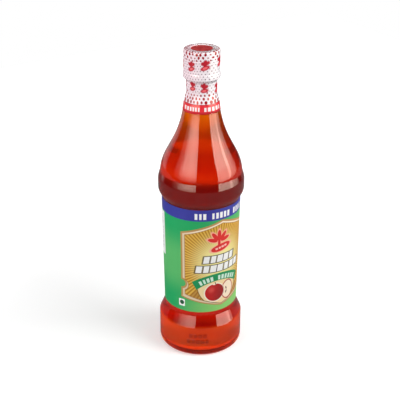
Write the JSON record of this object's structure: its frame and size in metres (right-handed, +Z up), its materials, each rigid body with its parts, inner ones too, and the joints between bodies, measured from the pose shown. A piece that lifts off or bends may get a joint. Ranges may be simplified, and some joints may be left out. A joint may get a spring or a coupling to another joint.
{
  "type": "vinegar bottle",
  "caption": "Tall round glass vinegar bottle with a domed shoulder, proud ring, bevelled plinth, wrap label and film-sealed screw cap; full of red-brown vinegar.",
  "frame": {"origin": "centre of the foot, on the plane that the bottle stands on", "axes": "+Z up along the bottle's axis; -Y out through the middle of the label's front"},
  "size_m": [0.078, 0.078, 0.288],
  "materials": {
    "clear_glass": "clear, smooth, polished",
    "vinegar": "clear red-amber liquid",
    "cap_plastic": "smooth moulded red plastic",
    "seal_film": "glossy shrunk white film with a printed dot pattern and a red band",
    "label_paper": "coated printed label, satin gloss"
  },
  "bodies": {
    "root": {"glass_bottle": "clear_glass", "vinegar": "vinegar", "screw_cap": "cap_plastic", "shrink_seal": "seal_film", "wrap_label": "label_paper"}
  },
  "joints": []
}
